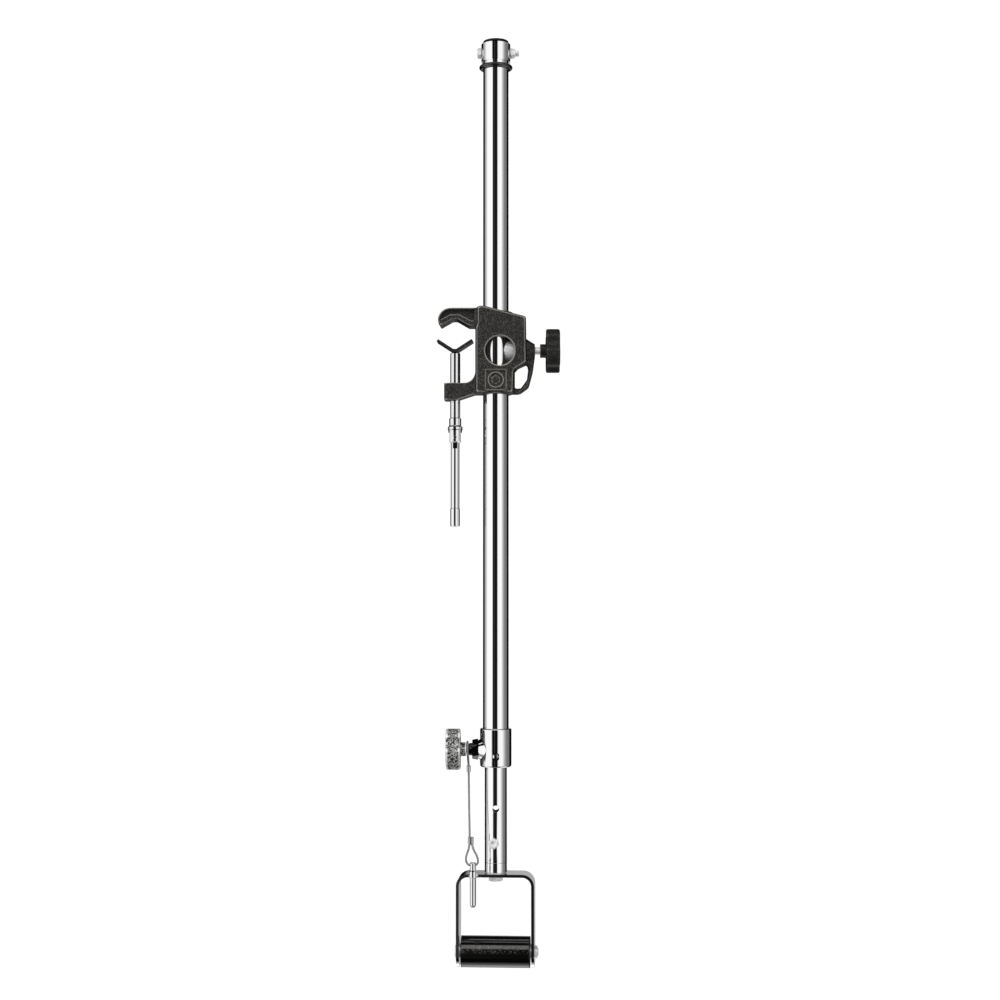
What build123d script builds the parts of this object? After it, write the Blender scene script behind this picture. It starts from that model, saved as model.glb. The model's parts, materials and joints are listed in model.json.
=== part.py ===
from build123d import *

import os
from math import cos, radians, sin, sqrt, tan

os.makedirs("parts", exist_ok=True)

# Telescopic drop hanger: a sliding C-clamp grips a ceiling pipe, two tubes telescope down from it, and a
# swivelling stirrup carries a crossbar for the lamp. The origin is the seat of the fixed pipe hook. X runs
# from the hook to the tubes, Y to the back and Z up. Sizes are in millimetres, and the tubes are collapsed.

# ---- driving dimensions ------------------------------------------------------------------------------------
TUBE_X = 55.5  # from the pipe seat and the jaw spindle to the axis of the tubes
OUTER_R, OUTER_BORE_R = 17.5, 15.5
OUTER_TOP, OUTER_BOTTOM = 384.5, -575.0
INNER_R, INNER_BORE_R = 15.0, 13.0
INNER_TOP, INNER_BOTTOM = 350.0, -734.0

SNUG = 0.05  # radial gap between pieces that are fixed together
RUN = 0.1  # radial gap of a running fit
CLEAR = 0.3  # gap between pieces that move past each other

M8_R, M8_ACROSS, M8_HEAD, M8_NUT = 4.0, 13.0, 5.3, 6.5
M10_R, M10_ACROSS = 5.0, 16.0
M12_R, M12_ACROSS, M12_HEAD = 6.0, 19.0, 7.0

# top stop of the outer tube
SLEEVE_R, SLEEVE_BOTTOM = 20.0, 358.0
SLEEVE_CHAMFER = 2.0
TOP_BOLT_Z = 370.6
PLUG_DOME, PLUG_DOME_FILLET = 2.9, 1.2
BUMPER_Z, BUMPER_SECTION_R = 350.5, 2.7

# locking collar at the lower end of the outer tube
COLLAR_R, COLLAR_TOP, COLLAR_BOTTOM = 21.3, -555.0, -607.0
COLLAR_FILLET_TOP, COLLAR_FILLET_BOTTOM = 2.0, 3.0
COLLAR_BORE_R = 15.5
BUSH_R, BUSH_LENGTH = 17.2, 7.0
BRAKE_Z = -583.4
BOSS_R, BOSS_REACH = 12.0, 24.0
BOSS_ROOT, BOSS_ROOT_HALF_WIDTH, BOSS_ROOT_HALF_HEIGHT = 8.0, 19.0, 21.0
BRAKE_BORE_R = 8.0
PAD_THICKNESS = 3.4
GLAND_ACROSS, GLAND_THICKNESS, GLAND_SPIGOT = 25.0, 7.8, 2.5
LOCK_NUT_THICKNESS = 4.8
LANYARD_GAP = 3.4

# safety pin holes
PIN_HOLE_R, PIN_HOLE_CHAMFER = 4.5, 1.0
COLLAR_PIN_HOLE_Z = -592.0
TUBE_PIN_HOLE_Z, TUBE_PIN_HOLE_PITCH, TUBE_PIN_HOLES = -662.0, 150.0, 7

# sliding clamp
SLAB_FRONT, SLAB_BACK = -23.0, -8.0
BLOCK_LEFT, BLOCK_RIGHT = 27.5, 97.5
BLOCK_TOP, BLOCK_BOTTOM = 15.0, -102.0
SLAB_TOP, SLAB_CORNER_R, SLAB_DRAFT, SLAB_DRAFT_DEPTH = 17.7, 4.0, 2.0, 4.5
HOUSING_R, HOUSING_TOP = 23.0, 11.0  # round housing of the tube behind the slab
TUBE_BORE_R = OUTER_R + CLEAR
WINDOW_X, WINDOW_Z, WINDOW_R, WINDOW_DEPTH = 61.0, -44.0, 20.0, 18.0
CLAMP_PAD_Z, CLAMP_PAD_R, CLAMP_PAD_END = -42.0, 14.0, 33.0
PAD_HOUSING_R, PAD_CHAMBER_END = 18.5, 39.0
LOCK_BOSS_END, LOCK_BOSS_R, LOCK_BOSS_BASE_R = 53.5, 9.3, 17.5
HOOK_DEPTH, HOOK_WEB, HOOK_RIM, HOOK_CORNER_R = 36.0, 22.0, 2.0, 17.0
SEAT_FLAT, SEAT_SPAN, SEAT_SLOPE = 2.8, 19.2, 30.0
FLANGE = 5.0
ARM_LEFT, ARM_HALF, ARM_TOP, ARM_BOTTOM = -15.0, 13.0, -87.0, -110.5
ARM_CORNER_R, ARM_EDGE_R, ARM_OVERLAP = 5.0, 1.5, 8.0
LOOP_DEPTH, LOOP_EDGE = 12.0, 2.4
PANEL_X, PANEL_Z, PANEL_WIDTH, PANEL_HEIGHT = 55.4, -84.0, 29.6, 29.0
PANEL_RIM, PANEL_DEPTH, PANEL_BORDER, PANEL_RING_R = 0.6, 0.6, 1.5, 11.0

# lower jaw, its spindle and its folding handle
PLATE_DEPTH, PLATE_THICKNESS, PLATE_FLAT = 20.0, 4.0, 1.2
PLATE_SPAN, PLATE_SLOPE, PLATE_TURN, PLATE_Z = 23.0, 33.0, -3.0, -40.8
PLATE_CORNER_R = 1.2
SPINDLE_R, SPINDLE_NECK_R, SPINDLE_BOTTOM = 7.0, 3.5, -145.0
RETAINER_R, RETAINER_HEIGHT = 4.9, 1.2
SOCKET_TOP, SOCKET_SHOULDER, SOCKET_BOTTOM = -134.0, -145.6, -168.0
SOCKET_NECK_R, SOCKET_CUP_R, SOCKET_RIM_R = 8.3, 9.4, 10.1
FOLD_Z, FOLD_RIVET_R = -161.0, 2.3
SLOT_WIDTH, TANG_WIDTH, TANG_REACH = 10.8, 10.4, 15.0
HANDLE_R, HANDLE_REACH, TIP_R, TIP_LENGTH = 6.0, 121.0, 6.6, 25.0

# four-lobed knobs
NECK_R, VALLEY_R, VALLEY_OUTSET, LOBE_CORNER_R, KNOB_EDGE = 9.4, 9.0, 1.5, 5.0, 2.5
COLLAR_KNOB_R, CLAMP_KNOB_R = 27.8, 30.0

# stirrup and crossbar
STRAP_TOP, STRAP_HALF, STRAP_THICKNESS, STRAP_WIDTH = -748.5, 52.4, 4.0, 40.0
STRAP_CORNER_R = 16.0
STIRRUP_TURN = -3.5  # the stirrup rests turned a little out of the plane of the clamp
CROSSBAR_Z, CROSSBAR_R, CROSSBAR_BORE_R = -854.0, 21.0, 18.5
WASHER_THICKNESS, WASHER_R = 2.0, 10.5
CAP_FLANGE = 1.0
PLUG_BOLT_Z, PLUG_BOLT_TURN = -708.0, 10.0
SET_SCREW_Z, SET_SCREW_R, SET_SCREW_TURN = -731.0, 0.9, 35.0
SLIT_WIDTH, SLIT_DEPTH = 0.7, 0.8

# safety pin on its lanyard
WIRE_R = 1.4
PIN_X, PIN_Y, PIN_R = TUBE_X - 30.4, -25.8, 4.2
PIN_TOP, PIN_BOTTOM, PIN_EYE_R, PIN_EYE_DROP = -731.5, -791.0, 2.7, 4.2


def level(z):
    """Horizontal plane on the axis of the tubes."""
    return Plane((TUBE_X, 0, z))


def spindle_level(z):
    """Horizontal plane on the axis of the jaw spindle."""
    return Plane((0, 0, z))


def sideways(reach, z, side=1):
    """Upright plane that faces away from the tubes along X, at a reach from their axis; its y is up."""
    return Plane((TUBE_X + side * reach, 0, z), x_dir=(0, side, 0), z_dir=(side, 0, 0))


def frontal(y):
    """Upright plane that faces the front; its x and y are the model's X and Z."""
    return Plane((0, y, 0), x_dir=(1, 0, 0), z_dir=(0, -1, 0))


def save(part, name):
    """Labels a finished piece and writes it as its own file."""
    part.label = name
    export_step(part, f"parts/{name}.step")


def save_turned(part, name):
    """Saves a piece of the stirrup, turned about the tubes with the rest of the stirrup."""
    save(part.rotate(Axis((TUBE_X, 0, 0), (0, 0, 1)), STIRRUP_TURN), name)


def ring(plane, outer_r, bore_r, height):
    """Plain round ring or bush that stands on a plane."""
    with BuildPart() as piece:
        with BuildSketch(plane):
            Circle(outer_r)
            Circle(bore_r, mode=Mode.SUBTRACT)
        extrude(amount=height)
    return piece.part


def hex_nut(plane, across, bore_r, height, turn=0.0):
    """Hexagonal nut with chamfered outer corners, standing on a plane."""
    with BuildPart() as piece:
        with BuildSketch(plane):
            RegularPolygon(across / 2, 6, major_radius=False, rotation=turn)
        extrude(amount=height)
        with BuildSketch(plane):
            Circle(across * 0.56)
        extrude(amount=height, taper=12, mode=Mode.INTERSECT)
        with BuildSketch(plane):
            Circle(bore_r)
        extrude(amount=height, mode=Mode.SUBTRACT)
    return piece.part


def hex_bolt(plane, shank_r, shank_length, across, head_height, turn=0.0):
    """Hexagonal bolt whose head stands on a plane and whose shank runs back from it."""
    with BuildPart() as piece:
        with BuildSketch(plane):
            RegularPolygon(across / 2, 6, major_radius=False, rotation=turn)
        extrude(amount=head_height)
        with BuildSketch(plane):
            Circle(across * 0.575)
        extrude(amount=head_height, taper=10, mode=Mode.INTERSECT)
        with BuildSketch(plane):
            Circle(shank_r)
        extrude(amount=-shank_length)
    return piece.part


def lobed_knob(plane, radius, thickness, neck_length, bore_r, bore_depth, turn):
    """Four-lobed knob on a round neck. The plane is the neck's inner end and faces outwards."""
    with BuildPart() as knob:
        with BuildSketch(plane.offset(neck_length)) as head:
            Circle(radius)
            with PolarLocations(radius + VALLEY_OUTSET, 4, start_angle=turn + 45):
                Circle(VALLEY_R, mode=Mode.SUBTRACT)
            fillet(head.vertices(), LOBE_CORNER_R)
        extrude(amount=thickness)
        rims = knob.faces().filter_by(Axis.X).edges()
        fillet(rims, KNOB_EDGE)
        with BuildSketch(plane):
            Circle(NECK_R)
        extrude(amount=neck_length + thickness / 2)
        with BuildSketch(plane):
            Circle(bore_r)
        extrude(amount=bore_depth, mode=Mode.SUBTRACT)
    return knob.part


def cut_cross_hole(plane, radius, length):
    """Cuts a round hole both ways from a plane through the piece being built."""
    with BuildSketch(plane) as hole:
        Circle(radius)
    extrude(hole.sketch, amount=length, both=True, mode=Mode.SUBTRACT)


# ---- outer tube and its top stop ---------------------------------------------------------------------------
with BuildPart() as outer_tube:
    with BuildSketch(level(OUTER_BOTTOM)):
        Circle(OUTER_R)
        Circle(OUTER_BORE_R, mode=Mode.SUBTRACT)
    extrude(amount=OUTER_TOP - OUTER_BOTTOM)
    cut_cross_hole(sideways(0, TOP_BOLT_Z), M8_R + SNUG, OUTER_R + 1)
save(outer_tube.part, "outer_tube")

with BuildPart() as top_sleeve:
    with BuildSketch(level(SLEEVE_BOTTOM)):
        Circle(SLEEVE_R)
    extrude(amount=OUTER_TOP - SLEEVE_BOTTOM)
    chamfer(top_sleeve.edges().sort_by(Axis.Z)[-1], SLEEVE_CHAMFER)
    with BuildSketch(level(SLEEVE_BOTTOM)):
        Circle(OUTER_R + SNUG)
    extrude(amount=OUTER_TOP - SLEEVE_BOTTOM, mode=Mode.SUBTRACT)
    cut_cross_hole(sideways(0, TOP_BOLT_Z), M8_R + SNUG, SLEEVE_R + 1)
save(top_sleeve.part, "top_sleeve")

with BuildPart() as top_plug:
    with BuildSketch(level(OUTER_TOP)):
        Circle(OUTER_R)
    extrude(amount=PLUG_DOME)
    fillet(top_plug.edges().sort_by(Axis.Z)[-1], PLUG_DOME_FILLET)
    with BuildSketch(level(SLEEVE_BOTTOM)):
        Circle(OUTER_BORE_R - SNUG)
    extrude(amount=OUTER_TOP - SLEEVE_BOTTOM)
    cut_cross_hole(sideways(0, TOP_BOLT_Z), M8_R + SNUG, SLEEVE_R)
save(top_plug.part, "top_plug")

TOP_BOLT_END = 12.0  # how far the cross bolt stands out of the sleeve on the nut's side
NUT_GAP = 0.1
top_bolt = hex_bolt(
    sideways(SLEEVE_R + NUT_GAP, TOP_BOLT_Z, -1), M8_R, 2 * SLEEVE_R + TOP_BOLT_END, M8_ACROSS, M8_HEAD, 30
)
save(top_bolt, "top_bolt")
top_nut = hex_nut(sideways(SLEEVE_R + NUT_GAP, TOP_BOLT_Z), M8_ACROSS, M8_R + SNUG, M8_NUT, 30)
save(top_nut, "top_nut")

with BuildPart() as bumper_ring:
    with BuildSketch(Plane((TUBE_X, 0, BUMPER_Z), x_dir=(1, 0, 0), z_dir=(0, -1, 0))):
        with Locations((OUTER_R + BUMPER_SECTION_R + SNUG, 0)):
            Circle(BUMPER_SECTION_R)
    revolve(axis=Axis((TUBE_X, 0, 0), (0, 0, 1)))
save(bumper_ring.part, "bumper_ring")

# ---- locking collar ----------------------------------------------------------------------------------------
with BuildPart() as collar:
    with BuildSketch(level(COLLAR_BOTTOM)):
        Circle(COLLAR_R)
    extrude(amount=COLLAR_TOP - COLLAR_BOTTOM)
    fillet(collar.edges().sort_by(Axis.Z)[-1], COLLAR_FILLET_TOP)
    fillet(collar.edges().sort_by(Axis.Z)[0], COLLAR_FILLET_BOTTOM)
    # boss of the brake, which widens towards the tube
    with BuildSketch(sideways(BOSS_REACH, BRAKE_Z, -1)):
        Circle(BOSS_R)
    with BuildSketch(sideways(BOSS_ROOT, BRAKE_Z, -1)):
        Ellipse(BOSS_ROOT_HALF_WIDTH, BOSS_ROOT_HALF_HEIGHT)
    loft()
    fillet(collar.faces().sort_by(Axis.X)[0].edges(), 1.0)
    # socket of the outer tube, bore of the inner tube and seat of the guide bush
    with BuildSketch(level(OUTER_BOTTOM - SNUG)):
        Circle(OUTER_R + SNUG)
    extrude(amount=COLLAR_TOP - OUTER_BOTTOM + 1, mode=Mode.SUBTRACT)
    with BuildSketch(level(COLLAR_BOTTOM)):
        Circle(COLLAR_BORE_R)
    extrude(amount=COLLAR_TOP - COLLAR_BOTTOM, mode=Mode.SUBTRACT)
    with BuildSketch(level(COLLAR_BOTTOM)):
        Circle(BUSH_R + SNUG)
    extrude(amount=BUSH_LENGTH + SNUG, mode=Mode.SUBTRACT)
    with BuildSketch(sideways(0, BRAKE_Z, -1)):
        Circle(BRAKE_BORE_R)
    extrude(amount=BOSS_REACH + 1, mode=Mode.SUBTRACT)
    # pin hole through both walls, chamfered at the front
    with BuildSketch(Plane((TUBE_X, 0, COLLAR_PIN_HOLE_Z), x_dir=(1, 0, 0), z_dir=(0, -1, 0))):
        Circle(PIN_HOLE_R)
    extrude(amount=COLLAR_R + 1, both=True, mode=Mode.SUBTRACT)
    countersink_y = -sqrt(COLLAR_R**2 - PIN_HOLE_R**2)
    with BuildSketch(Plane((TUBE_X, countersink_y, COLLAR_PIN_HOLE_Z), x_dir=(1, 0, 0), z_dir=(0, -1, 0))):
        Circle(PIN_HOLE_R + PIN_HOLE_CHAMFER)
    extrude(amount=2, mode=Mode.SUBTRACT)
save(collar.part, "collar")

save(ring(level(COLLAR_BOTTOM), BUSH_R, INNER_R + RUN, BUSH_LENGTH), "collar_bush")

with BuildPart() as brake_gland:
    with BuildSketch(sideways(BOSS_REACH + SNUG, BRAKE_Z, -1)):
        RegularPolygon(GLAND_ACROSS / 2, 6, major_radius=False, rotation=30)
    extrude(amount=GLAND_THICKNESS)
    with BuildSketch(sideways(BOSS_REACH + SNUG, BRAKE_Z, -1)):
        Circle(GLAND_ACROSS * 0.57)
    extrude(amount=GLAND_THICKNESS, taper=10, mode=Mode.INTERSECT)
    with BuildSketch(sideways(BOSS_REACH - GLAND_SPIGOT, BRAKE_Z, -1)):
        Circle(BRAKE_BORE_R - SNUG)
    extrude(amount=GLAND_SPIGOT + SNUG)
    with BuildSketch(sideways(0, BRAKE_Z, -1)):
        Circle(M10_R + RUN)
    extrude(amount=BOSS_REACH + GLAND_THICKNESS + 1, mode=Mode.SUBTRACT)
save(brake_gland.part, "brake_gland")

GLAND_END = BOSS_REACH + GLAND_THICKNESS + 2 * SNUG
lock_nut = hex_nut(sideways(GLAND_END, BRAKE_Z, -1), M10_ACROSS, M10_R + RUN, LOCK_NUT_THICKNESS, 12)
save(lock_nut, "brake_lock_nut")

# the pad's hollow face stands a hair clear of the inner tube while the knob is slack
PAD_FACE_R = INNER_R + 0.25
PAD_BACK = INNER_R + PAD_THICKNESS
with BuildPart() as brake_pad:
    with BuildSketch(sideways(10, BRAKE_Z, -1)):
        Circle(BRAKE_BORE_R - CLEAR)
    extrude(amount=PAD_BACK - 10)
    with BuildSketch(level(BRAKE_Z)):
        Circle(PAD_FACE_R)
    extrude(amount=BRAKE_BORE_R, both=True, mode=Mode.SUBTRACT)
save(brake_pad.part, "brake_pad")

COLLAR_KNOB_NECK = GLAND_END + LOCK_NUT_THICKNESS + LANYARD_GAP
COLLAR_NECK_LENGTH, COLLAR_KNOB_THICKNESS = 7.5, 20.0
STUD_IN_KNOB = 16.0
with BuildPart() as brake_stud:
    with BuildSketch(sideways(PAD_BACK + RUN, BRAKE_Z, -1)):
        Circle(M10_R)
    extrude(amount=COLLAR_KNOB_NECK + STUD_IN_KNOB - PAD_BACK - RUN)
save(brake_stud.part, "brake_stud")
collar_knob = lobed_knob(
    sideways(COLLAR_KNOB_NECK, BRAKE_Z, -1), COLLAR_KNOB_R, COLLAR_KNOB_THICKNESS, COLLAR_NECK_LENGTH,
    M10_R + SNUG, STUD_IN_KNOB + 1, -20,
)
save(collar_knob, "collar_knob")

# ---- inner tube, its guide and the swivel plug -------------------------------------------------------------
with BuildPart() as inner_tube:
    with BuildSketch(level(INNER_BOTTOM)):
        Circle(INNER_R)
        Circle(INNER_BORE_R, mode=Mode.SUBTRACT)
    extrude(amount=INNER_TOP - INNER_BOTTOM)
    for hole in range(TUBE_PIN_HOLES):
        hole_z = TUBE_PIN_HOLE_Z + hole * TUBE_PIN_HOLE_PITCH
        hole_plane = Plane((TUBE_X, 0, hole_z), x_dir=(1, 0, 0), z_dir=(0, -1, 0))
        cut_cross_hole(hole_plane, PIN_HOLE_R, INNER_R + 1)
    bolt_out = (-sin(radians(PLUG_BOLT_TURN)), -cos(radians(PLUG_BOLT_TURN)), 0)
    bolt_plane = Plane((TUBE_X, 0, PLUG_BOLT_Z), x_dir=(-bolt_out[1], bolt_out[0], 0), z_dir=bolt_out)
    cut_cross_hole(bolt_plane, M8_R + SNUG, INNER_R + 1)
    # small set screw hole above the joint of the plug
    set_out = (-sin(radians(SET_SCREW_TURN)), -cos(radians(SET_SCREW_TURN)), 0)
    with BuildSketch(Plane((TUBE_X, 0, SET_SCREW_Z), z_dir=set_out)):
        Circle(SET_SCREW_R)
    extrude(amount=INNER_R + 1, mode=Mode.SUBTRACT)
save(inner_tube.part, "inner_tube")

GUIDE_FLANGE, GUIDE_STEM = 5.0, 20.0
with BuildPart() as inner_guide:
    with BuildSketch(level(INNER_TOP)):
        Circle(OUTER_BORE_R - RUN)
    extrude(amount=GUIDE_FLANGE)
    chamfer(inner_guide.edges().sort_by(Axis.Z)[-1], 0.8)
    with BuildSketch(level(INNER_TOP - GUIDE_STEM)):
        Circle(INNER_BORE_R - SNUG)
    extrude(amount=GUIDE_STEM)
save(inner_guide.part, "inner_guide")

SWIVEL_WASHER, SWIVEL_WASHER_R = 1.2, 14.0
PLUG_STEM_TOP = PLUG_BOLT_Z + 16
PLUG_BOTTOM = STRAP_TOP + SWIVEL_WASHER + RUN
SWIVEL_BOLT_GRIP = 24.0
with BuildPart() as swivel_plug:
    with BuildSketch(level(PLUG_BOTTOM)):
        Circle(INNER_R)
    extrude(amount=INNER_BOTTOM - PLUG_BOTTOM)
    chamfer(swivel_plug.edges().sort_by(Axis.Z)[-1], 0.7)
    with BuildSketch(level(PLUG_BOTTOM)):
        with Locations((set_out[0] * INNER_R, set_out[1] * INNER_R)):
            Rectangle(SLIT_WIDTH, 2 * SLIT_DEPTH, rotation=-SET_SCREW_TURN)
    extrude(amount=INNER_BOTTOM - PLUG_BOTTOM, mode=Mode.SUBTRACT)
    with BuildSketch(level(INNER_BOTTOM)):
        Circle(INNER_BORE_R - SNUG)
    extrude(amount=PLUG_STEM_TOP - INNER_BOTTOM)
    chamfer(swivel_plug.edges().sort_by(Axis.Z)[-1], 1.5)
    cut_cross_hole(bolt_plane, M8_R + SNUG, INNER_R + 1)
    with BuildSketch(level(PLUG_BOTTOM)):
        Circle(M12_R + SNUG)
    extrude(amount=SWIVEL_BOLT_GRIP + 1, mode=Mode.SUBTRACT)
save(swivel_plug.part, "swivel_plug")

PLUG_BOLT_GAP, PLUG_BOLT_END = 0.1, 7.0
head_plane = bolt_plane.offset(INNER_R + PLUG_BOLT_GAP)
nut_plane = Plane(
    Vector(TUBE_X, 0, PLUG_BOLT_Z) - Vector(*bolt_out) * (INNER_R + PLUG_BOLT_GAP),
    x_dir=bolt_plane.x_dir,
    z_dir=-bolt_plane.z_dir,
)
save(hex_bolt(head_plane, M8_R, 2 * INNER_R + PLUG_BOLT_END, M8_ACROSS, M8_HEAD, 30), "plug_bolt")
save(hex_nut(nut_plane, M8_ACROSS, M8_R + SNUG, M8_NUT, 30), "plug_nut")

# the swivel bolt is screwed into the plug, and the strap turns on its shank
save_turned(ring(level(STRAP_TOP + RUN), SWIVEL_WASHER_R, M12_R + SNUG, SWIVEL_WASHER), "swivel_washer")
bolt_seat = Plane(
    (TUBE_X, 0, STRAP_TOP - STRAP_THICKNESS - RUN), x_dir=(1, 0, 0), z_dir=(0, 0, -1)
)
swivel_grip = STRAP_THICKNESS + 2 * RUN + SWIVEL_WASHER + SWIVEL_BOLT_GRIP
save(hex_bolt(bolt_seat, M12_R, swivel_grip, M12_ACROSS, M12_HEAD), "swivel_bolt")

# ---- stirrup -----------------------------------------------------------------------------------------------
with BuildPart() as stirrup_strap:
    strap_bottom = CROSSBAR_Z - STRAP_WIDTH / 2
    with BuildSketch(frontal(0)) as strap_side:
        with BuildLine():
            outer_left, outer_right = TUBE_X - STRAP_HALF, TUBE_X + STRAP_HALF
            Polyline(
                (outer_left, strap_bottom), (outer_left, STRAP_TOP),
                (outer_right, STRAP_TOP), (outer_right, strap_bottom), close=True,
            )
        make_face()
        fillet(strap_side.vertices().group_by(Axis.Y)[-1], STRAP_CORNER_R)
        inner_half = STRAP_HALF - STRAP_THICKNESS
        with BuildLine():
            inner_top = STRAP_TOP - STRAP_THICKNESS
            inner_r = STRAP_CORNER_R - STRAP_THICKNESS
            left, right = TUBE_X - inner_half, TUBE_X + inner_half
            FilletPolyline(
                (left, strap_bottom), (left, inner_top), (right, inner_top), (right, strap_bottom),
                radius=inner_r,
            )
            Line((right, strap_bottom), (left, strap_bottom))
        make_face(mode=Mode.SUBTRACT)
    extrude(amount=STRAP_WIDTH / 2, both=True)
    # the legs end in half circles about the through bolt
    with BuildSketch(sideways(0, CROSSBAR_Z)):
        Circle(STRAP_WIDTH / 2)
        with Locations((0, (STRAP_TOP - CROSSBAR_Z) / 2)):
            Rectangle(STRAP_WIDTH, STRAP_TOP - CROSSBAR_Z)
    extrude(amount=STRAP_HALF + 1, both=True, mode=Mode.INTERSECT)
    with BuildSketch(level(STRAP_TOP)):
        Circle(M12_R + RUN)
    extrude(amount=-STRAP_THICKNESS, mode=Mode.SUBTRACT)
    cut_cross_hole(sideways(0, CROSSBAR_Z), M10_R + SNUG, STRAP_HALF + 1)
save_turned(stirrup_strap.part, "stirrup_strap")

BUTTON_HEAD_R, BUTTON_HEAD = 8.4, 2.4
THIN_NUT, BOLT_END = 3.4, 1.5
button_gap = 0.1
with BuildPart() as crossbar_bolt:
    with BuildSketch(sideways(STRAP_HALF + button_gap, CROSSBAR_Z, -1)):
        Circle(BUTTON_HEAD_R)
    extrude(amount=BUTTON_HEAD)
    fillet(crossbar_bolt.faces().sort_by(Axis.X)[0].edges(), 1.4)
    with BuildSketch(sideways(STRAP_HALF + button_gap, CROSSBAR_Z, -1)):
        Circle(M10_R)
    extrude(amount=-(2 * STRAP_HALF + THIN_NUT + BOLT_END))
save_turned(crossbar_bolt.part, "crossbar_bolt")
crossbar_nut = hex_nut(
    sideways(STRAP_HALF + button_gap, CROSSBAR_Z), M10_ACROSS, M10_R + SNUG, THIN_NUT, 30
)
save_turned(crossbar_nut, "crossbar_nut")

# one washer inside each leg
washer_gap = 0.05
with BuildPart() as crossbar_washers:
    for side in (-1, 1):
        with BuildSketch(sideways(inner_half - washer_gap, CROSSBAR_Z, side)):
            Circle(WASHER_R)
            Circle(M10_R + SNUG, mode=Mode.SUBTRACT)
        extrude(amount=-WASHER_THICKNESS)
save_turned(crossbar_washers.part, "crossbar_washers")

# ---- crossbar that rolls on the through bolt ---------------------------------------------------------------
CAP_OUTER = inner_half - washer_gap - WASHER_THICKNESS - RUN
CAP_SPIGOT = 12.0
tube_half = CAP_OUTER - CAP_FLANGE
crossbar_tube = ring(sideways(tube_half, CROSSBAR_Z, -1), CROSSBAR_R, CROSSBAR_BORE_R, -2 * tube_half)
save_turned(crossbar_tube, "crossbar_tube")

with BuildPart() as crossbar_caps:
    for side in (-1, 1):
        with BuildSketch(sideways(CAP_OUTER, CROSSBAR_Z, side)):
            Circle(CROSSBAR_R)
            Circle(M10_R + RUN, mode=Mode.SUBTRACT)
        extrude(amount=-CAP_FLANGE)
        with BuildSketch(sideways(tube_half, CROSSBAR_Z, side)):
            Circle(CROSSBAR_BORE_R - SNUG)
            Circle(M10_R + RUN, mode=Mode.SUBTRACT)
        extrude(amount=-CAP_SPIGOT)
save_turned(crossbar_caps.part, "crossbar_caps")

# ---- sliding clamp body ------------------------------------------------------------------------------------
seat_rise = tan(radians(SEAT_SLOPE))
SEAT_TIP_Z = -(SEAT_SPAN - SEAT_FLAT) * seat_rise
HOOK_LEFT = -23.5
LOCK_FACE = BLOCK_RIGHT - TUBE_X

with BuildSketch(frontal(0)) as loop_hole:
    with BuildLine():
        Polyline(
            (81.6, -71.7), (86.0, -67.0), (97.8, -61.5), (99.5, -68.0), (97.8, -82.0),
            (89.5, -93.6), (81.6, -94.0), close=True,
        )
    make_face()
    fillet(loop_hole.vertices(), 2)

with BuildPart() as safety_loop:
    with BuildSketch(frontal(0)) as loop_outline:
        with BuildLine():
            Polyline(
                (73, BLOCK_BOTTOM), (88, BLOCK_BOTTOM), (100.5, -93), (106, -72), (108.8, -52),
                (106, -44), (94, -44), (76, -66), close=True,
            )
        make_face()
        fillet(loop_outline.vertices().filter_by_position(Axis.Y, BLOCK_BOTTOM, -90).sort_by(Axis.X)[1:], 9)
        add(loop_hole.face(), mode=Mode.SUBTRACT)
    extrude(amount=LOOP_DEPTH / 2, both=True)
    chamfer(safety_loop.faces().filter_by(Axis.Y).edges(), LOOP_EDGE)

# screw arm under the pipe
with BuildPart() as screw_arm:
    with BuildSketch(frontal(0)):
        with BuildLine():
            arm_blend = 16.0
            arm_root = BLOCK_LEFT + ARM_OVERLAP
            Polyline(
                (BLOCK_LEFT - arm_blend, ARM_TOP), (ARM_LEFT, ARM_TOP), (ARM_LEFT, ARM_BOTTOM),
                (2, ARM_BOTTOM), (BLOCK_LEFT, BLOCK_BOTTOM), (arm_root, BLOCK_BOTTOM),
                (arm_root, ARM_TOP + arm_blend), (BLOCK_LEFT, ARM_TOP + arm_blend),
            )
            RadiusArc((BLOCK_LEFT, ARM_TOP + arm_blend), (BLOCK_LEFT - arm_blend, ARM_TOP), arm_blend)
        make_face()
    extrude(amount=ARM_HALF, both=True)
    fillet(screw_arm.edges().filter_by(Axis.Z).group_by(Axis.X)[0], ARM_CORNER_R)
    fillet(screw_arm.faces().sort_by(Axis.Z)[0].edges(), ARM_EDGE_R)

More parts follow.
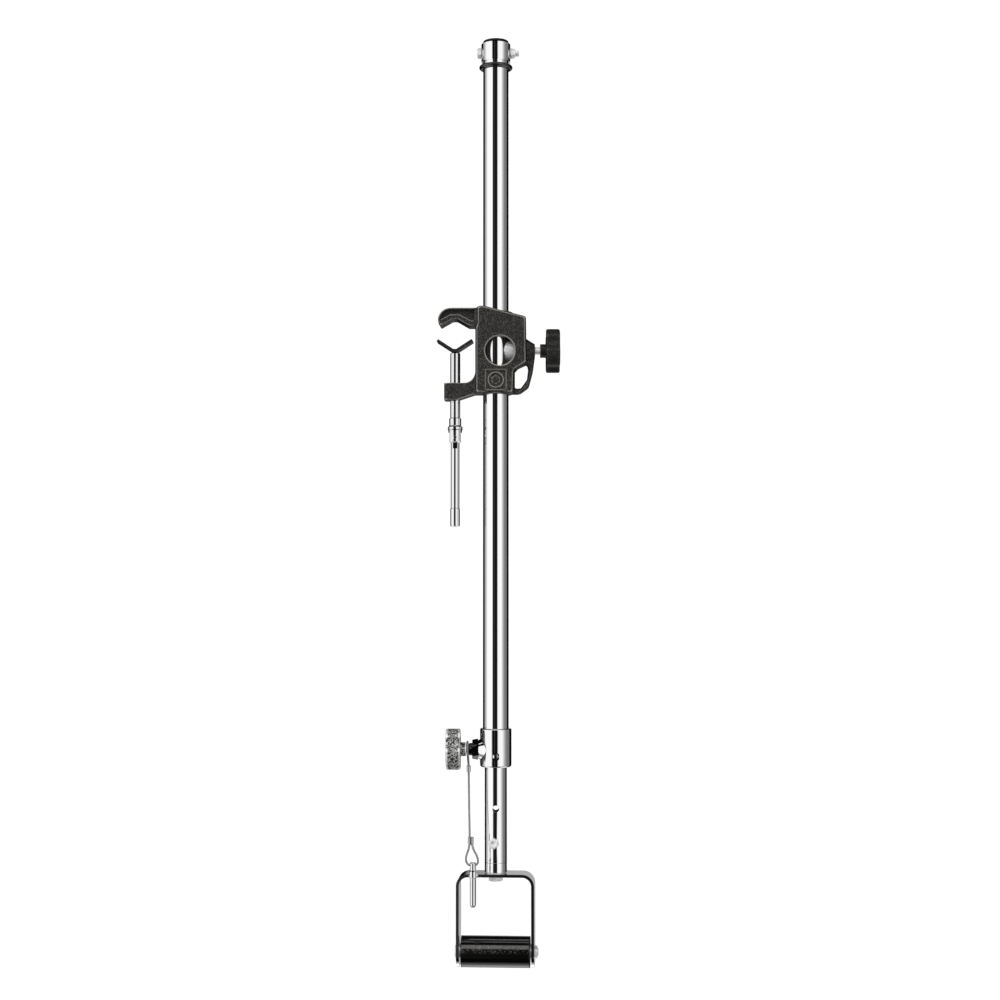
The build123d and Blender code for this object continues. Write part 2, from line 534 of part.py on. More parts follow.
with BuildPart() as clamp_body:
    # front slab with the flared upper part
    with BuildSketch(frontal(SLAB_FRONT)) as slab:
        with BuildLine():
            Polyline(
                (BLOCK_LEFT, BLOCK_BOTTOM), (BLOCK_LEFT, -12.0), (BLOCK_LEFT + 2, -6.0),
                (BLOCK_LEFT + 2, SLAB_TOP), (39.5, SLAB_TOP), (BLOCK_RIGHT - 1, 3.2),
                (BLOCK_RIGHT, -60.0), (80.5, -71.0), (79.5, BLOCK_BOTTOM), close=True,
            )
        make_face()
        fillet(slab.vertices(), SLAB_CORNER_R)
    extrude(amount=SLAB_FRONT - SLAB_BACK)
    slab_face = clamp_body.faces().sort_by(Axis.Y)[0]
    chamfer(slab_face.edges(), length=SLAB_DRAFT, length2=SLAB_DRAFT_DEPTH, reference=slab_face)
    # round housings of the tube and of the pressure pad
    with BuildSketch(level(BLOCK_BOTTOM)):
        Circle(HOUSING_R)
    extrude(amount=HOUSING_TOP - BLOCK_BOTTOM)
    fillet(clamp_body.faces().filter_by(Axis.Z).sort_by(Axis.Z)[-1].edges().sort_by(Axis.Y)[-1], 2)
    with BuildSketch(sideways(0, CLAMP_PAD_Z)):
        Circle(PAD_HOUSING_R)
    extrude(amount=LOCK_FACE - 1)
    # cone boss of the locking stud
    with BuildSketch(sideways(LOCK_FACE - 2, CLAMP_PAD_Z)):
        Circle(LOCK_BOSS_BASE_R)
    with BuildSketch(sideways(LOCK_BOSS_END, CLAMP_PAD_Z)):
        Circle(LOCK_BOSS_R)
    loft()
    # fixed hook over the pipe
    with BuildSketch(frontal(0)) as hook:
        with BuildLine():
            corner_x, corner_z = HOOK_LEFT + HOOK_CORNER_R, BLOCK_TOP - HOOK_CORNER_R
            flange_x, flange_z = FLANGE * sin(radians(SEAT_SLOPE)), FLANGE * cos(radians(SEAT_SLOPE))
            Polyline(
                (HOOK_LEFT, corner_z), (-SEAT_SPAN - flange_x, SEAT_TIP_Z + flange_z),
                (-SEAT_SPAN, SEAT_TIP_Z), (-SEAT_FLAT, 0), (SEAT_FLAT, 0), (SEAT_SPAN, SEAT_TIP_Z),
                (arm_root, SEAT_TIP_Z), (arm_root, BLOCK_TOP), (corner_x, BLOCK_TOP),
            )
            RadiusArc((corner_x, BLOCK_TOP), (HOOK_LEFT, corner_z), -HOOK_CORNER_R)
        make_face()
    extrude(amount=HOOK_DEPTH / 2, both=True)
    # pockets on both faces of the hook leave a web, an outer rim and the seat's flange
    for face_y, cut in ((-HOOK_DEPTH / 2, -1), (HOOK_DEPTH / 2, 1)):
        with BuildSketch(frontal(face_y)) as pocket:
            with BuildLine():
                low, high = FLANGE + 0.8, BLOCK_TOP - HOOK_RIM
                left, right = HOOK_LEFT + HOOK_RIM, BLOCK_LEFT - 0.5
                floor_z = SEAT_TIP_Z + 7
                Polyline(
                    (left, corner_z), (-6, low), (6, low), (21, floor_z),
                    (right, floor_z), (right, high), (corner_x, high),
                )
                RadiusArc((corner_x, high), (left, corner_z), HOOK_RIM - HOOK_CORNER_R)
            make_face()
            fillet(pocket.vertices(), 1.2)
        extrude(amount=cut * (HOOK_DEPTH - HOOK_WEB) / 2, mode=Mode.SUBTRACT)
    add(screw_arm.part)
    # safety-cable loop at the lower right, hung from the boss
    add(safety_loop.part)
    with BuildSketch(frontal(0)):
        add(loop_hole.face())
    extrude(amount=HOUSING_R, both=True, mode=Mode.SUBTRACT)
    # round window, sunk panel with a plain ring and hexagon, and the bores
    with BuildSketch(Plane((WINDOW_X, SLAB_FRONT, WINDOW_Z), x_dir=(1, 0, 0), z_dir=(0, -1, 0))):
        Circle(WINDOW_R)
    extrude(amount=-WINDOW_DEPTH, mode=Mode.SUBTRACT)
    panel = Plane((PANEL_X, SLAB_FRONT, PANEL_Z), x_dir=(1, 0, 0), z_dir=(0, -1, 0))
    with BuildSketch(panel):
        RectangleRounded(PANEL_WIDTH, PANEL_HEIGHT, 2)
    extrude(amount=PANEL_RIM)
    with BuildSketch(panel.offset(PANEL_RIM)):
        RectangleRounded(PANEL_WIDTH - 2 * PANEL_BORDER, PANEL_HEIGHT - 2 * PANEL_BORDER, 1.2)
        Circle(PANEL_RING_R, mode=Mode.SUBTRACT)
        Circle(PANEL_RING_R - PANEL_BORDER)
        RegularPolygon(PANEL_RING_R - 3 * PANEL_BORDER, 6, rotation=30, mode=Mode.SUBTRACT)
    extrude(amount=-(PANEL_RIM + PANEL_DEPTH), mode=Mode.SUBTRACT)
    with BuildSketch(level(BLOCK_BOTTOM - 1)):
        Circle(TUBE_BORE_R)
    extrude(amount=SLAB_TOP - BLOCK_BOTTOM + 2, mode=Mode.SUBTRACT)
    with BuildSketch(sideways(0, CLAMP_PAD_Z)):
        Circle(CLAMP_PAD_R + CLEAR)
    extrude(amount=PAD_CHAMBER_END, mode=Mode.SUBTRACT)
    with BuildSketch(sideways(0, CLAMP_PAD_Z)):
        Circle(M10_R + RUN)
    extrude(amount=LOCK_BOSS_END + 1, mode=Mode.SUBTRACT)
    with BuildSketch(spindle_level(ARM_BOTTOM - 1)):
        Circle(SPINDLE_R + RUN)
    extrude(amount=ARM_TOP - ARM_BOTTOM + 2, mode=Mode.SUBTRACT)
save(clamp_body.part, "clamp_body")

# ---- pressure pad, stud and knob of the clamp --------------------------------------------------------------
STUD_IN_PAD, STUD_TIP_R = 6.0, 4.0
with BuildPart() as clamp_pad:
    with BuildSketch(sideways(0, CLAMP_PAD_Z)):
        Circle(CLAMP_PAD_R)
    extrude(amount=CLAMP_PAD_END)
    chamfer(clamp_pad.faces().sort_by(Axis.X)[-1].edges(), 1.0)
    with BuildSketch(level(CLAMP_PAD_Z)):
        Circle(OUTER_R + CLEAR)
    extrude(amount=CLAMP_PAD_R + 1, both=True, mode=Mode.SUBTRACT)
    with BuildSketch(sideways(CLAMP_PAD_END, CLAMP_PAD_Z)):
        Circle(STUD_TIP_R + RUN)
    extrude(amount=-STUD_IN_PAD - RUN, mode=Mode.SUBTRACT)
save(clamp_pad.part, "clamp_pad")

CLAMP_KNOB_NECK, CLAMP_NECK_LENGTH, CLAMP_KNOB_THICKNESS = 60.4, 8.0, 19.0
with BuildPart() as clamp_stud:
    with BuildSketch(sideways(CLAMP_PAD_END - STUD_IN_PAD, CLAMP_PAD_Z)):
        Circle(STUD_TIP_R)
    extrude(amount=STUD_IN_PAD + RUN)
    with BuildSketch(sideways(CLAMP_PAD_END + RUN, CLAMP_PAD_Z)):
        Circle(M10_R)
    extrude(amount=CLAMP_KNOB_NECK + STUD_IN_KNOB - CLAMP_PAD_END - RUN)
save(clamp_stud.part, "clamp_stud")
clamp_knob = lobed_knob(
    sideways(CLAMP_KNOB_NECK, CLAMP_PAD_Z), CLAMP_KNOB_R, CLAMP_KNOB_THICKNESS, CLAMP_NECK_LENGTH,
    M10_R + SNUG, STUD_IN_KNOB + 1, 26,
)
save(clamp_knob, "clamp_knob")

# ---- lower jaw ---------------------------------------------------------------------------------------------
plate_turn = radians(PLATE_TURN)
plate_plane = Plane(
    (0, 0, PLATE_Z), x_dir=(cos(plate_turn), sin(plate_turn), 0), z_dir=(sin(plate_turn), -cos(plate_turn), 0)
)
with BuildPart() as jaw_v_plate:
    tip_z = (PLATE_SPAN - PLATE_FLAT) * tan(radians(PLATE_SLOPE))
    under_flat = PLATE_FLAT + PLATE_THICKNESS * tan(radians(PLATE_SLOPE / 2))
    end_x, end_z = PLATE_THICKNESS * sin(radians(PLATE_SLOPE)), PLATE_THICKNESS * cos(radians(PLATE_SLOPE))
    with BuildSketch(plate_plane):
        with BuildLine():
            Polyline(
                (-PLATE_SPAN, tip_z), (-PLATE_FLAT, 0), (PLATE_FLAT, 0), (PLATE_SPAN, tip_z),
                (PLATE_SPAN + end_x, tip_z - end_z), (under_flat, -PLATE_THICKNESS),
                (-under_flat, -PLATE_THICKNESS), (-PLATE_SPAN - end_x, tip_z - end_z), close=True,
            )
        make_face()
    extrude(amount=PLATE_DEPTH / 2, both=True)
    plate_ends = jaw_v_plate.edges().filter_by(lambda edge: abs(edge.center().X) > PLATE_SPAN - 4)
    fillet(plate_ends.filter_by(lambda edge: abs(edge.length - PLATE_DEPTH) < 0.01), PLATE_CORNER_R)
    # a spot face lets the retainer lie flat between the flanks
    with BuildSketch(spindle_level(PLATE_Z)):
        Circle(RETAINER_R + CLEAR)
    extrude(amount=RETAINER_HEIGHT + PLATE_THICKNESS, mode=Mode.SUBTRACT)
    with BuildSketch(spindle_level(PLATE_Z)):
        Circle(SPINDLE_NECK_R + RUN)
    extrude(amount=-PLATE_THICKNESS - 1, mode=Mode.SUBTRACT)
save(jaw_v_plate.part, "jaw_v_plate")

SPINDLE_SHOULDER = PLATE_Z - PLATE_THICKNESS - RUN
with BuildPart() as jaw_screw:
    with BuildSketch(spindle_level(SPINDLE_BOTTOM)):
        Circle(SPINDLE_R)
    extrude(amount=SPINDLE_SHOULDER - SPINDLE_BOTTOM)
    chamfer(jaw_screw.edges().sort_by(Axis.Z)[-1], 0.8)
    with BuildSketch(spindle_level(SPINDLE_SHOULDER)):
        Circle(SPINDLE_NECK_R)
    extrude(amount=PLATE_THICKNESS + 2 * RUN + RETAINER_HEIGHT)
save(jaw_screw.part, "jaw_screw")
save(ring(spindle_level(PLATE_Z + RUN), RETAINER_R, SPINDLE_NECK_R + SNUG, RETAINER_HEIGHT), "jaw_retainer")

with BuildPart() as handle_socket:
    with BuildSketch(frontal(0)):
        with BuildLine():
            rim_band = 4.5
            Polyline(
                (SPINDLE_R + SNUG, SOCKET_TOP), (SOCKET_NECK_R - 1, SOCKET_TOP),
                (SOCKET_NECK_R, SOCKET_TOP - 1), (SOCKET_NECK_R, SOCKET_SHOULDER + 1),
                (SOCKET_RIM_R - 1, SOCKET_SHOULDER),
                (SOCKET_RIM_R, SOCKET_SHOULDER - 1), (SOCKET_RIM_R, SOCKET_SHOULDER - rim_band),
                (SOCKET_CUP_R, SOCKET_SHOULDER - rim_band - 1), (SOCKET_CUP_R, SOCKET_BOTTOM + 1.5),
                (SOCKET_CUP_R - 1.5, SOCKET_BOTTOM), (0, SOCKET_BOTTOM), (0, SPINDLE_BOTTOM - SNUG),
                (SPINDLE_R + SNUG, SPINDLE_BOTTOM - SNUG), close=True,
            )
        make_face()
    revolve(axis=Axis.Z)
    # the slot lets the handle fold towards either side
    slot_top = FOLD_Z + HANDLE_R + 1
    with BuildSketch(Plane((0, 0, SOCKET_BOTTOM))):
        Rectangle(2 * SOCKET_RIM_R + 2, SLOT_WIDTH)
    extrude(amount=slot_top - SOCKET_BOTTOM, mode=Mode.SUBTRACT)
    with BuildSketch(Plane((0, 0, FOLD_Z), x_dir=(1, 0, 0), z_dir=(0, -1, 0))):
        Circle(FOLD_RIVET_R + SNUG)
    extrude(amount=SOCKET_RIM_R + 1, both=True, mode=Mode.SUBTRACT)
save(handle_socket.part, "handle_socket")

with BuildPart() as handle_rivet:
    with BuildSketch(Plane((0, 0, FOLD_Z), x_dir=(1, 0, 0), z_dir=(0, -1, 0))):
        Circle(FOLD_RIVET_R)
    extrude(amount=SOCKET_CUP_R + 0.3, both=True)
    fillet(handle_rivet.faces().filter_by(Axis.Y).edges(), 0.6)
save(handle_rivet.part, "handle_rivet")

TIP_SPIGOT_R, TIP_SPIGOT = 4.0, 18.0
rod_end = FOLD_Z - HANDLE_REACH + TIP_LENGTH
with BuildPart() as handle_rod:
    with BuildSketch(Plane((0, 0, 0), x_dir=(1, 0, 0), z_dir=(0, -1, 0))):
        with BuildLine():
            Polyline(
                (0, FOLD_Z + HANDLE_R), (0, rod_end - TIP_SPIGOT), (TIP_SPIGOT_R, rod_end - TIP_SPIGOT),
                (TIP_SPIGOT_R, rod_end), (HANDLE_R, rod_end), (HANDLE_R, FOLD_Z),
            )
            RadiusArc((HANDLE_R, FOLD_Z), (0, FOLD_Z + HANDLE_R), -HANDLE_R)
        make_face()
    revolve(axis=Axis.Z)
    # the tang has two flats and the rivet's hole
    for side in (-1, 1):
        with BuildSketch(Plane((0, 0, FOLD_Z - TANG_REACH))):
            with Locations((0, side * (TANG_WIDTH / 2 + HANDLE_R))):
                Rectangle(2 * HANDLE_R + 1, 2 * HANDLE_R)
        extrude(amount=TANG_REACH + HANDLE_R + 1, mode=Mode.SUBTRACT)
    with BuildSketch(Plane((0, -HANDLE_R, FOLD_Z), x_dir=(1, 0, 0), z_dir=(0, -1, 0))):
        Circle(FOLD_RIVET_R + RUN)
    extrude(amount=-2 * HANDLE_R, mode=Mode.SUBTRACT)
save(handle_rod.part, "handle_rod")

with BuildPart() as handle_tip:
    with BuildSketch(spindle_level(rod_end)):
        Circle(TIP_R)
    extrude(amount=-TIP_LENGTH)
    chamfer(handle_tip.edges().filter_by(GeomType.CIRCLE), 0.8)
    with BuildSketch(spindle_level(rod_end)):
        Circle(TIP_SPIGOT_R + SNUG)
    extrude(amount=-TIP_SPIGOT - 1, mode=Mode.SUBTRACT)
save(handle_tip.part, "handle_tip")

# ---- safety pin and its wire lanyard -----------------------------------------------------------------------
with BuildPart() as safety_pin:
    bead_top, bead_bottom, bead_r = PIN_TOP - 10.3, PIN_TOP - 21.1, 5.4
    with BuildSketch(Plane((PIN_X, PIN_Y, 0), x_dir=(1, 0, 0), z_dir=(0, -1, 0))):
        with BuildLine():
            Polyline(
                (0, PIN_TOP), (PIN_R - 1, PIN_TOP), (PIN_R, PIN_TOP - 1), (PIN_R, bead_top),
                (bead_r, bead_top - 1.5), (bead_r, bead_bottom + 1.5), (PIN_R, bead_bottom),
                (PIN_R, PIN_BOTTOM + 3), (PIN_R - 2, PIN_BOTTOM), (0, PIN_BOTTOM), close=True,
            )
        make_face()
    revolve(axis=Axis((PIN_X, PIN_Y, 0), (0, 0, 1)))
    with BuildSketch(Plane((PIN_X, PIN_Y, PIN_TOP - PIN_EYE_DROP), x_dir=(0, 1, 0), z_dir=(1, 0, 0))):
        Circle(PIN_EYE_R)
    extrude(amount=PIN_R + 1, both=True, mode=Mode.SUBTRACT)
save(safety_pin.part, "safety_pin")

# the wire: its first end is crimped in the upper ferrule, it loops over the stud, comes back through that
# ferrule, hangs to the lower ferrule, loops through the pin's eye and ends in the lower ferrule
EYE_Z = PIN_TOP - PIN_EYE_DROP
WIRE_ROUTE = [
    (18.9, -1.55, -613.5),
    (18.7, -1.55, -604.0),
    (17.9, -8.6, -594.0),
    (17.1, -10.2, -582.5),
    (17.1, -5.2, -573.5),
    (17.1, 5.2, -573.5),
    (17.1, 10.2, -582.5),
    (17.9, 8.6, -594.0),
    (18.7, 1.55, -604.0),
    (18.9, 1.2, -615.0),
    (19.1, -1.2, -632.0),
    (19.6, -8.5, -660.0),
    (20.3, -15.6, -684.0),
    (20.5, -19.4, -698.0),
    (20.5, -21.2, -708.5),
    (18.6, -23.6, -716.5),
    (15.6, -25.2, -724.0),
    (15.9, -25.8, -731.5),
    (20.3, -25.8, EYE_Z),
    (28.9, -25.8, EYE_Z - 0.1),
    (32.4, -25.8, -731.0),
    (30.4, -25.2, -722.5),
    (26.2, -23.6, -716.0),
    (23.6, -21.2, -708.5),
    (23.6, -19.9, -701.0),
]


def corner_radii(points):
    """The largest arc that each corner of a route leaves room for: 0.45 of its shorter run."""
    radii = []
    for before, corner, after in zip(points, points[1:], points[2:]):
        run_in, run_out = Vector(*corner) - Vector(*before), Vector(*after) - Vector(*corner)
        half_turn = radians(run_in.get_angle(run_out) / 2)
        radii.append(0.45 * min(run_in.length, run_out.length) / tan(half_turn))
    return radii


wire_radii = corner_radii(WIRE_ROUTE)
with BuildPart() as lanyard_wire:
    with BuildLine() as wire_path:
        FilletPolyline(*WIRE_ROUTE, radius=wire_radii)
    with BuildSketch(Plane(wire_path.line @ 0, z_dir=wire_path.line % 0)):
        Circle(WIRE_R)
    sweep()
save(lanyard_wire.part, "lanyard_wire")
print("wire length", round(wire_path.wires()[0].length, 1), "mm")
print("wire corner radii", [round(r, 1) for r in wire_radii])


def ferrule(centre, width, depth, height):
    """Crimped oval sleeve around two strands of the wire."""
    with BuildPart() as sleeve:
        with BuildSketch(Plane(centre)) as oval:
            Rectangle(width, depth)
            fillet(oval.vertices(), min(width, depth) / 2 - 0.1)
        extrude(amount=height / 2, both=True)
        chamfer(sleeve.faces().filter_by(Axis.Z).edges(), 0.5)
    return sleeve.part


save(ferrule((18.8, 0, -609.5), 5.5, 8.4, 9.0), "upper_ferrule")
save(ferrule((22.05, -20.3, -703.6), 7.8, 6.4, 10.0), "lower_ferrule")
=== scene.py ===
import json
import math

import bmesh
import bpy
from mathutils import Matrix, Vector


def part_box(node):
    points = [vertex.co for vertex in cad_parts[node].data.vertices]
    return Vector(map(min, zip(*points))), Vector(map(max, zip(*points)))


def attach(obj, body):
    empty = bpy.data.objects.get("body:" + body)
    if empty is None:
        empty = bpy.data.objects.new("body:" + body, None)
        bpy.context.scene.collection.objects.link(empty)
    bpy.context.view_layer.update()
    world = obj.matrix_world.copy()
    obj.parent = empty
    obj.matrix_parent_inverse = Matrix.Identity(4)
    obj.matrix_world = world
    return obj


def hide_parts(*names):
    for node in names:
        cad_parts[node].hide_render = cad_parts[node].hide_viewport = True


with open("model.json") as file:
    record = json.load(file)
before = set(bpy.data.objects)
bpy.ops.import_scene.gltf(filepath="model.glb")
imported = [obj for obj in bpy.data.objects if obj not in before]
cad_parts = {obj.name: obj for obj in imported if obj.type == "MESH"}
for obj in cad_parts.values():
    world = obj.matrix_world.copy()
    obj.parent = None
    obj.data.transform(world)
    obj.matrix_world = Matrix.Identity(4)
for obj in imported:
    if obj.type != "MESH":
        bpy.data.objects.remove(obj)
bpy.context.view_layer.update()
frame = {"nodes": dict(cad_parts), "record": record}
nodes = frame["nodes"]

MM = 0.001
TUBE_X = 55.5  # millimetres
CROSSBAR_Z, CROSSBAR_R = -854 * MM, 21 * MM


def body_of(node):
    """The body that carries a node."""
    bodies = frame["record"]["behaviour"]["bodies"]
    return next(body for body, members in bodies.items() if node in members)


def slot_of(node):
    """The material slot of a node."""
    return next(entry["material_slot"] for entry in frame["record"]["subparts"] if entry["node"] == node)


# ---- node helpers ------------------------------------------------------------------------------------
def mapped(tree, value, low, high, to_low, to_high):
    """Maps a value's low..high onto to_low..to_high."""
    node = tree.nodes.new("ShaderNodeMapRange")
    for key, number in (("From Min", low), ("From Max", high), ("To Min", to_low), ("To Max", to_high)):
        node.inputs[key].default_value = number
    tree.links.new(value, node.inputs["Value"])
    return node.outputs["Result"]


def colour_mix(tree, factor):
    """A node that runs from its colour A to its colour B as the factor goes from 0 to 1."""
    mix = tree.nodes.new("ShaderNodeMix")
    mix.data_type = "RGBA"
    tree.links.new(factor, mix.inputs["Factor"])
    return mix


# ---- materials ---------------------------------------------------------------------------------------
NOISE_LOW, NOISE_HIGH = 0.3, 0.7  # between these lies nearly all of a noise pattern
NEAR_BLACK = (0.008, 0.0078, 0.0074)


def principled(name, color, metallic=0.0, roughness=0.5, coat=0.0, coat_roughness=0.1, specular=0.5):
    """A Principled material whose plain values sit on the shader's own sockets."""
    material = bpy.data.materials.new(name)
    material.use_nodes = True
    shader = material.node_tree.nodes["Principled BSDF"]
    shader.inputs["Base Color"].default_value = (*color, 1)
    shader.inputs["Metallic"].default_value = metallic
    shader.inputs["Roughness"].default_value = roughness
    shader.inputs["Coat Weight"].default_value = coat
    shader.inputs["Coat Roughness"].default_value = coat_roughness
    shader.inputs["Specular IOR Level"].default_value = specular
    return material


def shader_of(material):
    return material.node_tree.nodes["Principled BSDF"]


def grain(material, per_mm, stretch=(1, 1, 1), detail=3.0):
    """Noise in the object's own space, with about per_mm features to the millimetre."""
    tree = material.node_tree
    coord = tree.nodes.new("ShaderNodeTexCoord")
    mapping = tree.nodes.new("ShaderNodeMapping")
    mapping.inputs["Scale"].default_value = [s * per_mm / MM for s in stretch]
    tree.links.new(coord.outputs["Object"], mapping.inputs["Vector"])
    texture = tree.nodes.new("ShaderNodeTexNoise")
    texture.inputs["Scale"].default_value = 1.0
    texture.inputs["Detail"].default_value = detail
    tree.links.new(mapping.outputs["Vector"], texture.inputs["Vector"])
    return texture.outputs["Fac"]


def tint(material, value, dark, light):
    """Colours the material between two tones by a pattern that runs from 0 to 1."""
    tree = material.node_tree
    mix = colour_mix(tree, value)
    mix.inputs["A"].default_value = (*dark, 1)
    mix.inputs["B"].default_value = (*light, 1)
    tree.links.new(mix.outputs["Result"], shader_of(material).inputs["Base Color"])


def flecks(material, per_mm, low, high, detail=3.0):
    """Noise that is 0 below low and 1 above high, so that a narrow gap between them gives sharp flecks."""
    return mapped(material.node_tree, grain(material, per_mm, detail=detail), low, high, 0, 1)


def relief(material, value, depth_mm, strength=1.0):
    """Raises the surface by a pattern. Several reliefs on one material add up."""
    tree = material.node_tree
    bump = tree.nodes.new("ShaderNodeBump")
    bump.inputs["Strength"].default_value = strength
    bump.inputs["Distance"].default_value = depth_mm * MM
    normal = shader_of(material).inputs["Normal"]
    if normal.is_linked:
        tree.links.new(normal.links[0].from_socket, bump.inputs["Normal"])
    tree.links.new(value, bump.inputs["Height"])
    tree.links.new(bump.outputs["Normal"], normal)


def polish(material, value, low, high):
    """Varies the roughness from low to high by a noise pattern."""
    tree = material.node_tree
    roughness = mapped(tree, value, NOISE_LOW, NOISE_HIGH, low, high)
    tree.links.new(roughness, shader_of(material).inputs["Roughness"])


def chrome(name, tone=0.93, low=0.02, high=0.05, drawn=(1, 1, 0.02), ripple=0.1):
    """Polished chrome plate with faint drawing lines and a slight haze."""
    material = principled(name, (tone, tone, tone * 1.005), metallic=1.0)
    polish(material, grain(material, 0.6, drawn), low, high)
    relief(material, grain(material, 0.5, drawn), 0.002, ripple)
    return material


def steel(name, tone, low, high, grain_per_mm=2.0, metallic=1.0):
    """Satin plated steel."""
    material = principled(name, (tone, tone, tone * 1.01), metallic=metallic)
    polish(material, grain(material, grain_per_mm), low, high)
    relief(material, grain(material, grain_per_mm * 2), 0.01, 0.3)
    return material


MATERIALS = {
    "chrome_tube": chrome("chrome_tube"),
    "chrome_collar": chrome("chrome_collar", 0.9, 0.03, 0.08),
    "chrome_strap": chrome("chrome_strap", 0.88, 0.04, 0.1, (1, 1, 1)),
    "chrome_spindle": chrome("chrome_spindle", 0.8, 0.02, 0.06, (1, 1, 1)),
    "chrome_handle": chrome("chrome_handle", 0.86, 0.02, 0.06),
    "chrome_pin": chrome("chrome_pin", 0.84, 0.02, 0.06, (1, 1, 1)),
    "zinc_fasteners": steel("zinc_fasteners", 0.84, 0.26, 0.42, metallic=0.5),
    "dark_steel": steel("dark_steel", 0.05, 0.14, 0.3),
    "steel_washers": steel("steel_washers", 0.88, 0.24, 0.4, metallic=0.55),
    "pad_metal": steel("pad_metal", 0.6, 0.3, 0.46, metallic=0.35),
    "ferrule_metal": steel("ferrule_metal", 0.6, 0.24, 0.4),
    "wire_grey": principled("wire_grey", (0.42, 0.42, 0.42), 0.6, 0.35, coat=0.6, coat_roughness=0.15),
    "guide_plastic": principled("guide_plastic", (0.72, 0.71, 0.66), 0.0, 0.5),
    "plug_black": principled("plug_black", (0.004, 0.004, 0.004), 0.0, 0.3, specular=0.3),
    "rubber_black": principled("rubber_black", (0.004, 0.004, 0.004), 0.0, 0.2, specular=1.0),
    "knob_black": principled("knob_black", (0.01, 0.0098, 0.0092), 0.0, 0.46, specular=0.35),
    "knob_silver": principled("knob_silver", (0.42, 0.42, 0.41), 0.4, 0.42),
    "jaw_plate_black": principled("jaw_plate_black", (0.01, 0.0098, 0.0092), 0.0, 0.4, specular=0.4),
    "cast_black": principled("cast_black", (0.02, 0.019, 0.018), 0.0, 0.5, specular=0.35),
    "crossbar_black": principled("crossbar_black", (0.002, 0.002, 0.002), 0.0, 0.09),
}


# how much of the crossbar's painted reflection and scuffs shows, from 0 to 1, at heights from its underside,
# 0, to its top, 1
REFLECTION_AND_SCUFF_HEIGHTS = [(0.5, 0.0), (0.56, 1.0), (0.75, 1.0), (0.79, 0.0)]


def reflection_and_scuff_band(material):
    """1 on the band of the crossbar that carries a painted reflection with scuffs, and 0 on the rest."""
    tree = material.node_tree
    coord = tree.nodes.new("ShaderNodeTexCoord")
    axes = tree.nodes.new("ShaderNodeSeparateXYZ")
    tree.links.new(coord.outputs["Object"], axes.inputs["Vector"])
    edge = tree.nodes.new("ShaderNodeFloatCurve")
    height = mapped(tree, axes.outputs["Z"], CROSSBAR_Z - CROSSBAR_R, CROSSBAR_Z + CROSSBAR_R, 0, 1)
    curve = edge.mapping.curves[0]
    curve.points[0].location = (0.0, 0.0)
    curve.points[1].location = (1.0, 0.0)
    for place, level in REFLECTION_AND_SCUFF_HEIGHTS:
        curve.points.new(place, level)
    edge.mapping.update()
    tree.links.new(height, edge.inputs["Value"])
    return edge.outputs["Value"]


def masked(material, value, mask):
    """One pattern times another."""
    tree = material.node_tree
    times = tree.nodes.new("ShaderNodeMath")
    times.operation = "MULTIPLY"
    tree.links.new(value, times.inputs[0])
    tree.links.new(mask, times.inputs[1])
    return times.outputs["Value"]


def edge_highlight_and_wear(material, low, high, tone):
    """Lightens the rounded edges of a remade casting, which its mesh marks in the layer named rim: a painted
    highlight along the edges, together with wear.
    """
    tree = material.node_tree
    shader = shader_of(material)
    rim = tree.nodes.new("ShaderNodeAttribute")
    rim.attribute_name = "rim"
    mix = colour_mix(tree, mapped(tree, rim.outputs["Fac"], low, high, 0, 1))
    tree.links.new(shader.inputs["Base Color"].links[0].from_socket, mix.inputs["A"])
    mix.inputs["B"].default_value = (*tone, 1)
    tree.links.new(mix.outputs["Result"], shader.inputs["Base Color"])


def finish_cast(cast):
    """The clamp's powder coat, speckled, with a painted highlight and wear lightening its edges."""
    tint(cast, flecks(cast, 0.9, 0.54, 0.72, 5.0), (0.01, 0.0094, 0.0086), (0.15, 0.14, 0.127))
    edge_highlight_and_wear(cast, 0.25, 0.8, (0.3, 0.285, 0.265))
    polish(cast, grain(cast, 0.5), 0.4, 0.58)
    relief(cast, grain(cast, 1.3, detail=4.0), 0.12, 0.7)


def finish_jaw_plate(plate):
    """The V plate's black paint with small light flecks."""
    tint(plate, flecks(plate, 0.8, 0.58, 0.72), NEAR_BLACK, (0.09, 0.09, 0.085))
    relief(plate, grain(plate, 1.5), 0.06, 0.6)


def finish_moulding(plastic):
    """The fine grain of a moulded black plastic."""
    polish(plastic, grain(plastic, 0.4), 0.36, 0.52)
    relief(plastic, grain(plastic, 1.6), 0.05, 0.5)


def finish_black_knob(knob):
    """The clamp knob's plastic, dusty, with a painted highlight and wear lightening its edges."""
    finish_moulding(knob)
    tint(knob, flecks(knob, 0.8, 0.5, 0.75, 4.0), NEAR_BLACK, (0.06, 0.058, 0.054))
    edge_highlight_and_wear(knob, 0.3, 1.0, (0.2, 0.19, 0.18))


def finish_silver_knob(silver):
    """The collar knob's silver paint, worn through to dark metal, with a painted highlight and wear
    brightening its edges.
    """
    tint(silver, flecks(silver, 0.45, 0.46, 0.56, 4.0), (0.01, 0.01, 0.01), (0.5, 0.5, 0.48))
    edge_highlight_and_wear(silver, 0.12, 0.4, (1.0, 1.0, 0.98))
    polish(silver, grain(silver, 0.9), 0.34, 0.52)
    relief(silver, grain(silver, 0.9, detail=4.0), 0.3, 0.8)


def finish_pad(pad):
    """The pressure pad's dull metal, with a painted highlight and wear lightening its rim."""
    tint(pad, flecks(pad, 1.2, 0.3, 0.6), (0.45, 0.45, 0.45), (0.7, 0.7, 0.7))
    edge_highlight_and_wear(pad, 0.2, 0.6, (0.9, 0.9, 0.9))


